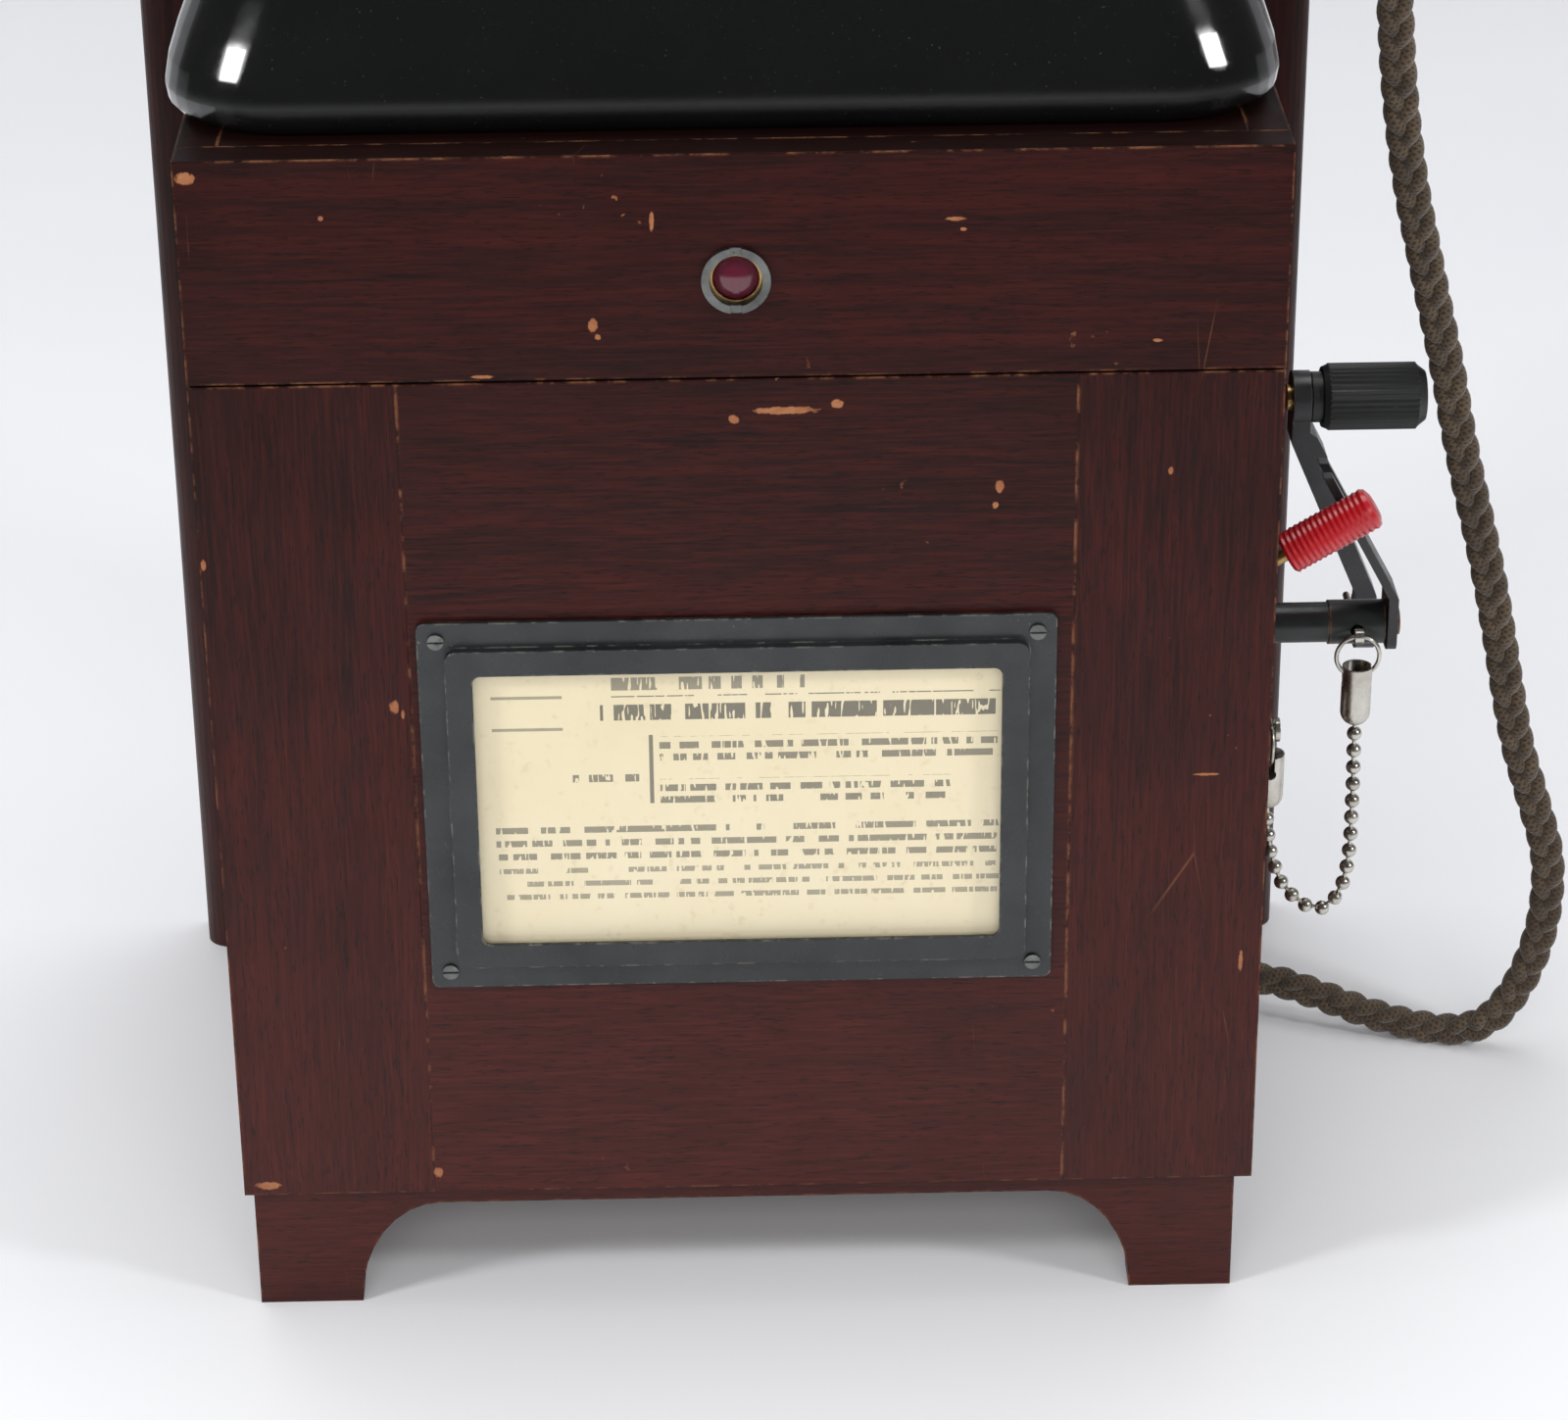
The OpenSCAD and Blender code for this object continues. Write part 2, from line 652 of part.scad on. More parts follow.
module armature() {
    color([0.45, 0.25, 0.12]) place() translate([0, spindle_y, pinion_z]) {
        x_rod(24, gear_x + gear_t + 2, 2);
        x_rod(40, 92, 14);
    }
}
module generator_frame() {
    color(brass) place() translate([0, spindle_y, 0]) {
        for (x = [30, 99]) difference() {
            box(x, x + 3, -26, 26, pinion_z - 21, spindle_z + 12);
            translate([0, 0, spindle_z]) x_rod(x - 1, x + 4, spindle_r + run);
            translate([0, 0, pinion_z]) x_rod(x - 1, x + 4, 2 + run);
        }
        difference() {
            box(33, 99, -20, 20, pinion_z - 16, pinion_z + 16);
            translate([0, 0, pinion_z]) x_rod(32, 100, 14.8);
            box(32, 100, -7, 7, pinion_z - 17, pinion_z + 17);
        }
    }
}
module generator_magnets() {
    color([0.25, 0.12, 0.12]) place() translate([0, spindle_y, 0]) for (x = [37, 58, 79])
        x_plate(x, x + 16) polygon(concat(
            arc([0, spindle_z - 6], 28, 0, 180, 12), [[-28, pinion_z - 20], [-20, pinion_z - 20]],
            arc([0, spindle_z - 6], 20, 180, 0, 12), [[20, pinion_z - 20], [28, pinion_z - 20]]));
}

// ---- Key lever ----

module key_plate() {
    color(black) place() difference() {
        translate([0, key_y, key_pz + 2]) x_plate(half_w, half_w + 1.2) polygon(round_rect(12.6, 34, 2));
        box(half_w - 1, half_w + 2, key_y - 2.8, key_y + 2.8, key_pz - 8, key_pz + 13);
    }
}
module key_switch() {
    color(steel) place() translate([key_px, key_y, key_pz]) {
        for (y = [-4.4, 3.2]) box(-26, 4.5, y, y + 1.2, -9, 9);
        box(-27.2, -26, -5.6, 5.6, -11, 11);
        y_rod(-4, 4, 1.2);
        for (z = [-7, -4.4, 4, 6.6]) box(-26, -7, -2.6, 2.6, z, z + 0.5);
    }
}
module key_lever() {
    color(brass) place() translate([key_px, key_y, key_pz]) rotate([0, -key_tilt, 0]) difference() {
        union() {
            y_rod(-2.6, 2.6, 3);
            x_rod(0, key_start + 6, 1.6);
        }
        y_rod(-4, 4, 1.2 + run);
    }
}
module key_knob() {
    rings = 15;
    step = (key_l - 3) / rings;
    color([0.75, 0.05, 0.09]) place() translate([key_px, key_y, key_pz]) rotate([0, -key_tilt, 0])
        translate([key_start, 0, 0]) rotate([0, 90, 0]) rotate_extrude() difference() {
            polygon(concat([[0, 0], [key_r - 0.8, 0]],
                [for (i = [0:rings - 1], k = [0, 1]) [key_r - k * 0.35, 0.8 + (i + k * 0.5) * step]],
                [[key_r, key_l - 2], [key_r - 0.6, key_l - 0.9], [key_r - 2.4, key_l - 0.2], [0, key_l]]));
            translate([-0.01, -1]) square([1.61, 7]);
        }
}

// ---- Electrical pieces ----

module induction_coil() {
    color([0.4, 0.2, 0.08]) place() translate([-100, 60, case_z + board_t + 14]) {
        x_rod(0, 3, 13);
        x_rod(3, 57, 10);
        x_rod(57, 60, 13);
        for (x = [0, 57]) box(x, x + 3, -13, 13, -14, 0);
    }
}
module capacitor() {
    color([0.5, 0.52, 0.5]) place() translate([-98, 110, case_z + board_t]) {
        cube([46, 24, 52]);
        for (x = [10, 36]) translate([x, 12, 52]) cylinder(h = 5, r = 3);
    }
}
module terminal_strip() {
    color([0.15, 0.10, 0.08]) place() translate([-inner_x, 60, 120]) {
        cube([12, 90, 16]);
        for (i = [0:7]) translate([12, 8 + i * 10.5, 8]) x_rod(0, 4, 2.6);
    }
}

// ---- Bell set ----

module bell_gongs() {
    color(brass) place() for (s = [-1, 1]) translate([bell_x + s * gong_dx, 146, gong_z])
        rotate([90, 0, 0]) rotate_extrude() polygon(concat([[0, 0], [3, 0], [3, 16.4]],
            arc([gong_r - 12, 6], 10.4, 90, 0, 6), [[gong_r - 1.6, 0], [gong_r, 0]],
            arc([gong_r - 12, 6], 12, 0, 90, 6), [[0, 18]]));
}
module ringer() {
    color([0.3, 0.14, 0.10]) place() {
        box(bell_x - 42, bell_x + 42, case_d - 3, case_d, 172, gong_z + 14);
        for (s = [-1, 1]) {
            translate([bell_x + s * 12, 0, 192]) y_rod(150, case_d - 3, 9);
            translate([bell_x + s * gong_dx, 0, gong_z]) y_rod(146, case_d - 3, 3);
        }
        translate([bell_x, 0, hammer_z]) y_rod(hammer_y - 5, case_d - 3, 1.5);
    }
}
module bell_hammer() {
    color(steel) place() translate([bell_x, hammer_y, hammer_z]) difference() {
        union() {
            y_rod(-3, 3, 4);
            box(-17, 17, -2, 2, -3, 1.5);
            cylinder(h = gong_z - hammer_z, r = 0.9);
            translate([0, 0, gong_z - hammer_z]) sphere(r = 3.2);
        }
        y_rod(-6, 6, 1.5 + run);
    }
}

// ---- Telephone ----

// Levels of the body: height, half width less the skirt's, front, back
body_levels = [[0, -3.5, 17, 174], [1.2, -1.4, 15, 175.5], [3.2, 0, 13.7, 176], [7, 0.5, 13.2, 176],
    [13, -0.6, 14.2, 176], [20, -3, 16.6, 176], [30, -7.2, 21, 175], [42, -12.8, 27, 173],
    [56, -19.7, 34.5, 170], [72, -28.5, 44.5, 165], [84, -34.8, 51.5, 160.5],
    [89, -37.4, 54.5, 158.5], [91, -40, 57, 156.5]];
// One level's outline, narrower at the back, let in by d
function body_ring(v, d, z) =
    let (hw = body_hw + v[1] - d, r = 27 - d, y0 = v[2] + d + r, y1 = v[3] - d - r, b = hw - 8)
    [for (p = concat(arc([b - r, y1], r, 0, 90, 9), arc([-b + r, y1], r, 90, 180, 9),
        arc([-hw + r, y0], r, 180, 270, 9), arc([hw - r, y0], r, 270, 360, 9)))
        [phone_x + p[0], p[1], z]];
// A closed skin over rings that have the same number of points
module loft(rings) {
    n = len(rings[0]);
    m = len(rings);
    walls = [for (i = [0:m - 2], k = [0:n - 1], h = [0, 1]) let (a = i * n + k, b = i * n + (k + 1) % n)
        h == 0 ? [a, a + n, b + n] : [a, b + n, b]];
    polyhedron(points = [for (ring = rings) each ring],
        faces = concat(walls, [[for (k = [0:n - 1]) k]], [[for (k = [n - 1:-1:0]) (m - 1) * n + k]]));
}
module telephone_body() {
    f = body_h / 91;
    inner = concat([body_ring([0, -5, 18, 173], body_wall, top_z - 1)],
        [for (i = [5:10]) body_ring(body_levels[i], body_wall, top_z + body_levels[i][0] * f)],
        [body_ring(body_levels[11], body_wall + 1, deck_z - body_wall)]);
    color(black) place() difference() {
        loft([for (v = body_levels) body_ring(v, 0, top_z + v[0] * f)]);
        loft(inner);
        for (s = [-1, 1]) translate([s * plunger_x, phone_y, deck_z - 10])
            cylinder(h = 20, r = plunger_r + 0.3);
    }
}
module cradle() {
    gap = grip_r + 1.4;
    floor_z = grip_z - grip_r - 0.3;
    color(black) place() for (s = [-1, 1]) translate([s * rest_x, phone_y, 0])
        x_plate(-8, 8) polygon([[-gap - 9, deck_z], [gap + 9, deck_z], [gap + 5, grip_z - 2],
            [gap + 3, grip_z + 5], [gap + 0.6, grip_z + 6], [gap, grip_z - 3], [gap - 5, floor_z],
            [-gap + 5, floor_z], [-gap, grip_z - 3], [-gap - 0.6, grip_z + 6],
            [-gap - 3, grip_z + 5], [-gap - 5, grip_z - 2]]);
}
module cradle_plungers() {
    color([0.85, 0.83, 0.76]) place() for (s = [-1, 1]) translate([s * plunger_x, phone_y, 0])
        translate([0, 0, deck_z - 14]) cylinder(h = grip_z - grip_r - 0.4 - deck_z + 14, r = plunger_r);
}
module handset_handle() {
    color(black) place() translate([0, phone_y, grip_z]) {
        x_rod(-cap_x, cap_x, grip_r);
        for (s = [-1, 1]) translate([s * cap_x, 0, 0]) {
            sphere(r = grip_r + 2);
            translate([0, 0, -20]) cylinder(h = 20, r = 12);
            translate([0, 0, -22]) cylinder(h = 10, r = cap_r - 2);
        }
        translate([cap_x, 0, -15.5]) x_rod(0, cap_r + 2.6, 4.6);
    }
}
module handset_caps() {
    color(black) place() translate([0, phone_y, grip_z]) for (s = [-1, 1])
        translate([s * cap_x, 0, -34]) rotate_extrude() polygon([[0, 3], [cap_r - 8, 0],
            [cap_r - 3, 0], [cap_r, 3], [cap_r, 9], [cap_r - 1.5, 12], [0, 12]]);
}

// ---- Cord ----

module cord_gland() {
    color(black) place() translate([gland_x, gland_y, 0]) difference() {
        union() {
            translate([0, 0, case_z]) cylinder(h = board_t + 3, r = 6);
            translate([0, 0, case_z - 5]) cylinder(h = 5, r = 8);
        }
        translate([0, 0, case_z - 5]) cylinder(h = board_t + 9, r = cord_r - 0.4);
    }
}
function unit(v) = v / norm(v);
// Rings round the route, each facing along it
module tube(pts, r, sides) {
    n = len(pts);
    rings = [for (i = [0:n - 1])
        let (t = unit(pts[min(i + 1, n - 1)] - pts[max(i - 1, 0)]),
            u = unit(cross(t, [0, 1, 0])), v = cross(t, u))
        for (k = [0:sides - 1]) pts[i] + r * (u * cos(k * 360 / sides) + v * sin(k * 360 / sides))];
    sides_faces = [for (i = [0:n - 2], k = [0:sides - 1]) let (k2 = (k + 1) % sides)
        [i * sides + k, (i + 1) * sides + k, (i + 1) * sides + k2, i * sides + k2]];
    first = [for (k = [0:sides - 1]) k];
    last = [for (k = [sides - 1:-1:0]) (n - 1) * sides + k];
    polyhedron(points = rings, faces = concat(sides_faces, [first, last]), convexity = 10);
}
module handset_cord() { color([0.22, 0.17, 0.12]) place() tube(cord_points, cord_r, cord_sides); }

case_side_left();
case_side_right();
case_bottom();
case_top();
front_rail();
plinth_front();
plinth_sides();
backboard();
generator_shelf();
door_stile_left();
door_stile_right();
door_panel();
door_hinge_leaves();
catch_stud();
label_frame();
label_glass();
label_card();
label_screws();
case_hinge_leaves();
hinge_pin();
lamp_bezel();
lamp_retainer();
lamp_jewel();
lamp_holder();
lamp_bulb();
lock_rod();
locking_arm();
locking_pin();
pin_ring();
pin_coupling();
bead_chain();
chain_anchor();
anchor_coupling();
spindle_bush();
crank_spindle();
crank_arm();
knob_pin();
crank_knob();
drive_gear();
armature();
armature_pinion();
generator_frame();
generator_magnets();
key_plate();
key_switch();
key_lever();
key_knob();
induction_coil();
capacitor();
terminal_strip();
bell_gongs();
ringer();
bell_hammer();
telephone_body();
cradle();
cradle_plungers();
handset_handle();
handset_caps();
cord_gland();
handset_cord();
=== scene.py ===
"""Fire emergency telephone: looks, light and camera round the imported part.

Units are metres, in the part's own frame, unless a comment says millimetres.
"""
import json
import math
import bpy
import numpy as np
from mathutils import Matrix, Vector

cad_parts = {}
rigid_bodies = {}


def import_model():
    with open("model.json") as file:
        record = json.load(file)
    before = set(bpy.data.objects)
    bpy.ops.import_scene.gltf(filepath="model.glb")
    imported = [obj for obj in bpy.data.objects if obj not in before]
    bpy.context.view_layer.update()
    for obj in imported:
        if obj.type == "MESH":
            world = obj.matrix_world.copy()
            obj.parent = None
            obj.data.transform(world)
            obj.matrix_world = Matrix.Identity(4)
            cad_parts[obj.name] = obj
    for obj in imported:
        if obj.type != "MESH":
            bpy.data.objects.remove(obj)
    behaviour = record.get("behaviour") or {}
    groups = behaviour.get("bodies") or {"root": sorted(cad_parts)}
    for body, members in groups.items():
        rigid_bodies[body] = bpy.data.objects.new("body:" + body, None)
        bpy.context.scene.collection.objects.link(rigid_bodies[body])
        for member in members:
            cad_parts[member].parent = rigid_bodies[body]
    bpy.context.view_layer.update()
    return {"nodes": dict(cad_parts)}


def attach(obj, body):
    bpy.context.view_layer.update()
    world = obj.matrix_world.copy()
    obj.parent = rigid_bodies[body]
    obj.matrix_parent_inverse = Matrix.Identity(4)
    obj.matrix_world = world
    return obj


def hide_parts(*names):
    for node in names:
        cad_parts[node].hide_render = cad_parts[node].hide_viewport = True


bpy.ops.wm.read_factory_settings(use_empty=True)
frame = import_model()
NODES = frame["nodes"]
OY = 0.196            # the case's front face is this far in front of the part's origin
X, Y, Z = 0, 1, 2
TURN = 2 * math.pi
BEVEL_SAMPLES = 4     # rays for each edge-finding node
SHARP_ANGLE = 28      # degrees: edges sharper than this stay sharp


# ---------------------------------------------------------------- node helpers
class Mat:
    """A small builder round one Principled material."""

    def __init__(self, name, base=(0.5, 0.5, 0.5), rough=0.5, metal=0.0, **more):
        self.m = bpy.data.materials.new(name)
        self.m.use_nodes = True
        self.t = self.m.node_tree
        self.p = self.t.nodes["Principled BSDF"]
        self.p.inputs["Base Color"].default_value = (*base, 1)
        self.p.inputs["Roughness"].default_value = rough
        self.p.inputs["Metallic"].default_value = metal
        for k, v in more.items():
            self.p.inputs[k.replace("_", " ")].default_value = v
        self.co = self.t.nodes.new("ShaderNodeTexCoord").outputs["Object"]

    def put(self, where, value):
        if isinstance(value, bpy.types.NodeSocket):
            self.t.links.new(value, where)
        elif isinstance(value, (tuple, list)) and len(value) == 3 and where.type == "RGBA":
            where.default_value = (*value, 1)
        else:
            where.default_value = value

    def scaled(self, scale, rot=(0, 0, 0)):
        n = self.t.nodes.new("ShaderNodeMapping")
        self.put(n.inputs["Vector"], self.co)
        n.inputs["Scale"].default_value = scale
        n.inputs["Rotation"].default_value = rot
        return n.outputs[0]

    def noise(self, scale, detail=4, rough=0.55, dist=0.0, co=None):
        n = self.t.nodes.new("ShaderNodeTexNoise")
        self.put(n.inputs["Vector"], co or self.co)
        n.inputs["Scale"].default_value = scale
        n.inputs["Detail"].default_value = detail
        n.inputs["Roughness"].default_value = rough
        n.inputs["Distortion"].default_value = dist
        return n.outputs["Fac"]

    def borders(self, scale, co):
        """Distance to the borders of random cells: 0 on a border."""
        n = self.t.nodes.new("ShaderNodeTexVoronoi")
        n.feature = "DISTANCE_TO_EDGE"
        self.put(n.inputs["Vector"], co)
        n.inputs["Scale"].default_value = scale
        return n.outputs["Distance"]

    def ramp(self, fac, a, b, lo=0.0, hi=1.0):
        n = self.t.nodes.new("ShaderNodeMapRange")
        self.put(n.inputs["Value"], fac)
        n.inputs["From Min"].default_value = a
        n.inputs["From Max"].default_value = b
        n.inputs["To Min"].default_value = lo
        n.inputs["To Max"].default_value = hi
        return n.outputs[0]

    def math(self, op, a, b=0.0):
        n = self.t.nodes.new("ShaderNodeMath")
        n.operation = op
        self.put(n.inputs[0], a)
        self.put(n.inputs[1], b)
        return n.outputs[0]

    def mix(self, fac, a, b):
        n = self.t.nodes.new("ShaderNodeMix")
        n.data_type = "RGBA"
        self.put(n.inputs[0], fac)
        self.put(n.inputs[6], a)
        self.put(n.inputs[7], b)
        return n.outputs[2]

    def axis(self, which, src=None):
        n = self.t.nodes.new("ShaderNodeSeparateXYZ")
        self.put(n.inputs[0], src or self.co)
        return n.outputs[which]

    def edge(self, radius):
        """About 1 at a convex or concave edge and 0 on a flat."""
        b = self.t.nodes.new("ShaderNodeBevel")
        b.samples = BEVEL_SAMPLES
        b.inputs["Radius"].default_value = radius
        g = self.t.nodes.new("ShaderNodeNewGeometry")
        d = self.t.nodes.new("ShaderNodeVectorMath")
        d.operation = "DOT_PRODUCT"
        self.put(d.inputs[0], b.outputs[0])
        self.put(d.inputs[1], g.outputs["Normal"])
        return self.ramp(d.outputs["Value"], 0.99, 0.80)

    def bump(self, height, strength=0.3, dist=0.0005, rounded=0.0):
        n = self.t.nodes.new("ShaderNodeBump")
        n.inputs["Strength"].default_value = strength
        n.inputs["Distance"].default_value = dist
        self.put(n.inputs["Height"], height)
        if rounded:
            b = self.t.nodes.new("ShaderNodeBevel")
            b.samples = BEVEL_SAMPLES
            b.inputs["Radius"].default_value = rounded
            self.put(n.inputs["Normal"], b.outputs[0])
        self.put(self.p.inputs["Normal"], n.outputs[0])
        return self

    def set(self, **k):
        for key, v in k.items():
            self.put(self.p.inputs[key.replace("_", " ")], v)
        return self


# ---------------------------------------------------------------- materials
MARKS = [  # worn spots on the front: x, z, half length, half height, all in millimetres
    (11, 246, 10, 1.3), (23, 247.5, 2, 1.4), (-1, 244, 1.6, 1.5), (-33, 268, 1.5, 2.2),
    (-32, 265, 1, 1), (50, 292.5, 3, 0.7), (52, 290, 1, 0.6), (97, 262, 1.5, 0.6),
    (61, 226, 1.4, 2.2), (60, 221, 1, 1.2), (101, 229, 0.8, 1.4), (-83, 171, 1.6, 2.4),
    (-81, 169, 0.6, 1.6), (-59, 255.6, 4, 0.6), (-124, 305, 3, 2), (-126, 209, 0.8, 2),
    (112, 149, 4, 0.5), (-19, 293, 0.7, 4), (-94, 295, 0.8, 0.8), (-121, 37, 4, 1.5),
    (122, 97, 0.7, 4), (-78, 40, 1.5, 2)]
GRAIN_STRETCH = 0.045     # fine grain and streaks: scale along the board against across it
PORE_STRETCH = 0.12       # pores and broad bands, which are shorter


def wood(name, along, tint=1.0, wear=1.0):
    """Red-brown varnished mahogany with its grain along one axis.

    Wear above 0.5 also brings the marks on the case front.
    """
    w = Mat(name, rough=0.3)
    s = [1.0, 1.0, 1.0]
    s[along] = GRAIN_STRETCH
    long = w.scaled(tuple(s))
    s[along] = PORE_STRETCH
    short = w.scaled(tuple(s))
    fine = w.noise(1300, 3, 0.6, 0.0, long)
    mid_streak = w.noise(210, 4, 0.6, 0.6, long)
    broad = w.noise(28, 3, 0.5, 0.8, short)
    cloud = w.noise(11, 4)
    low = w.ramp(w.axis(Z), 0.33, 0.03)     # 0 near the top of the case, 1 at the feet
    dark = tuple(c * tint for c in (0.011, 0.0030, 0.0026))
    mid = tuple(c * tint for c in (0.030, 0.0050, 0.0040))
    red = tuple(c * tint for c in (0.072, 0.0110, 0.0070))
    col = w.mix(w.ramp(mid_streak, 0.32, 0.70), dark, mid)
    warm = w.math("MULTIPLY", w.ramp(fine, 0.42, 0.70), w.ramp(low, 0, 1, 0.22, 0.80))
    col = w.mix(warm, col, red)
    col = w.mix(w.ramp(low, 0.35, 1, 0, 0.42), col, red)
    col = w.mix(w.ramp(broad, 0.48, 0.72, 0, 0.35), col, dark)
    pores = w.ramp(w.noise(2100, 2, 0.5, 0.0, short), 0.58, 0.68)
    col = w.mix(w.math("MULTIPLY", pores, 0.7), col, (0.008, 0.003, 0.0025))
    col = w.mix(w.ramp(cloud, 0.50, 0.75, 0.0, 0.4), col, tuple(c * 0.45 for c in dark))
    # painted shade: faces that look up are darker
    geo = w.t.nodes.new("ShaderNodeNewGeometry")
    up_shade = w.ramp(w.axis(Z, geo.outputs["Normal"]), 0.7, 0.95, 0, 0.75)
    col = w.mix(up_shade, col, (0.007, 0.0035, 0.003))
    # pale scratches, small chips and worn edges
    slanted = w.scaled((1, 1, 0.16), (0.0, 0.55, 0.0))
    scratch = w.math("MULTIPLY", w.ramp(w.borders(26, slanted), 0.003, 0.0),
                     w.ramp(w.noise(30, 3), 0.60, 0.72, 0, 0.35))
    chip = w.math("MULTIPLY", w.ramp(w.noise(330, 2, 0.5), 0.70, 0.74),
                  w.ramp(w.noise(21, 2), 0.62, 0.68, 0, 0.5))
    rim = w.math("MULTIPLY", w.edge(0.0010), w.ramp(w.noise(150, 4, 0.7), 0.47, 0.60))
    spots = None
    rough_edge = w.noise(500, 4, 0.7)
    x, z = w.axis(X), w.axis(Z)
    for mx, mz, rx, rz in MARKS if wear > 0.5 else []:
        a = w.math("DIVIDE", w.math("SUBTRACT", x, mx / 1000), rx / 1000)
        b = w.math("DIVIDE", w.math("SUBTRACT", z, mz / 1000), rz / 1000)
        r = w.math("ADD", w.math("MULTIPLY", a, a), w.math("MULTIPLY", b, b))
        r = w.math("ADD", r, w.math("MULTIPLY", rough_edge, 1.6))
        m = w.ramp(r, 1.45, 1.15)
        spots = m if spots is None else w.math("MAXIMUM", spots, m)
    if spots is not None:
        front = w.math("LESS_THAN", w.axis(Y), -OY + 0.004)
        spots = w.math("MULTIPLY", spots, front)
    worn = w.math("MAXIMUM", w.math("MULTIPLY", rim, 0.75 * wear), w.math("MAXIMUM", scratch, chip))
    if spots is not None:
        worn = w.math("MAXIMUM", worn, w.math("MULTIPLY", spots, 0.75))
    bare = w.mix(w.noise(400, 3), (0.24, 0.055, 0.022), (0.50, 0.24, 0.11))
    col = w.mix(worn, col, bare)
    w.set(Base_Color=col)
    r = w.ramp(w.noise(60, 4, 0.6), 0.3, 0.75, 0.34, 0.50)
    w.set(Roughness=w.math("ADD", r, w.math("MULTIPLY", worn, 0.3)))
    w.set(Specular_IOR_Level=w.ramp(low, 0, 1, 0.09, 0.28), Coat_Weight=0.0)
    hollow = w.math("ADD", w.math("MULTIPLY", pores, 0.5), worn)
    h = w.math("SUBTRACT", w.math("MULTIPLY", fine, 0.25), hollow)
    return w.bump(h, 0.22, 0.0003, 0.0010)


def metal(name, base, rough, second, spots=0.0):
    """Bare metal that wanders between two tones, with dark spots of tarnish."""
    m = Mat(name, base, rough, 1.0)
    n = m.noise(160, 5, 0.6)
    col = m.mix(m.ramp(n, 0.35, 0.7), base, second)
    if spots:
        s = m.ramp(m.noise(420, 3, 0.6), 0.62, 0.70, 0.0, spots)
        col = m.mix(s, col, tuple(c * 0.25 for c in base))
    m.set(Base_Color=col, Roughness=m.ramp(m.noise(260, 4), 0.3, 0.7, rough - 0.07, rough + 0.12))
    return m.bump(m.noise(900, 3), 0.12, 0.0002, 0.0003)


def painted(name, base, rough, under, wear, low=0.50, grain=0.15):
    """Paint worn through to another colour at its edges and in rubbed patches."""
    m = Mat(name, base, rough)
    n = m.noise(240, 5, 0.65)
    rim = m.math("MULTIPLY", m.edge(0.0008), m.ramp(n, low, low + 0.10))
    rub = m.math("MULTIPLY", m.ramp(m.noise(700, 3, 0.7), 0.66, 0.72),
                 m.ramp(m.noise(60, 2), 0.52, 0.62))
    worn = m.math("MULTIPLY", m.math("MAXIMUM", rim, m.math("MULTIPLY", rub, 0.6)), wear)
    col = m.mix(m.ramp(m.noise(45, 4), 0.3, 0.75), base, tuple(c * 2.2 + 0.003 for c in base))
    m.set(Base_Color=m.mix(worn, col, under), Metallic=m.math("MULTIPLY", worn, 0.9))
    m.set(Roughness=m.ramp(m.noise(130, 5, 0.6), 0.3, 0.7, rough - 0.06, rough + 0.14))
    height = m.math("SUBTRACT", m.math("MULTIPLY", m.noise(1100, 3), 0.35), worn)
    return m.bump(height, grain, 0.00025, 0.0004)


def plastic(name, base, rough, dust=0.15, sub=0.0, coat=0.0, mottle=60, soft=0.0004):
    """Moulded plastic, mottled and dusty. soft is the radius its facets are rounded over."""
    m = Mat(name, base, rough, 0.0)
    if sub:
        m.set(Subsurface_Weight=sub, Subsurface_Scale=0.002)
    col = m.mix(m.ramp(m.noise(mottle, 4), 0.35, 0.7), base, tuple(c * 0.75 for c in base))
    speck = m.ramp(m.noise(1500, 2, 0.5), 0.71, 0.75, 0.0, dust)
    m.set(Base_Color=m.mix(speck, col, (0.25, 0.23, 0.2)))
    m.set(Roughness=m.ramp(m.noise(38, 5, 0.65), 0.3, 0.75, rough, rough + 0.12))
    m.set(Coat_Weight=coat, Coat_Roughness=0.05)
    return m.bump(m.noise(300, 4), 0.05, 0.0002, soft)


# The card's print, in metres, as plain bars in place of words.
# x from, x to, z from, z to, row pitch, bar height, word length, seed, darkness
PRINT_ROWS = [
    (-0.034, 0.062, 0.1665, 0.1730, 0.0062, 0.0042, 0.0060, 3, 0.85),
    (-0.034, 0.015, 0.1745, 0.1790, 0.0062, 0.0034, 0.0050, 9, 0.7),
    (-0.020, 0.062, 0.1555, 0.1620, 0.0032, 0.0018, 0.0036, 5, 0.75),
    (-0.020, 0.050, 0.1440, 0.1505, 0.0032, 0.0018, 0.0036, 15, 0.75),
    (-0.041, -0.025, 0.1500, 0.1530, 0.0030, 0.0020, 0.0040, 25, 0.75),
    (-0.060, 0.062, 0.1290, 0.1395, 0.0036, 0.0017, 0.0036, 35, 0.7),
    (-0.060, 0.062, 0.1180, 0.1275, 0.0036, 0.0014, 0.0032, 45, 0.6)]
# x from, x to, z from, z to, darkness
PRINT_RULES = [
    (-0.0225, -0.0215, 0.1440, 0.1625, 0.8),
    (-0.0600, -0.0430, 0.1640, 0.1648, 0.6),
    (-0.0600, -0.0430, 0.1725, 0.1733, 0.6)]
ROW_JUMP = 7.31           # how far apart the noise is read for neighbouring rows


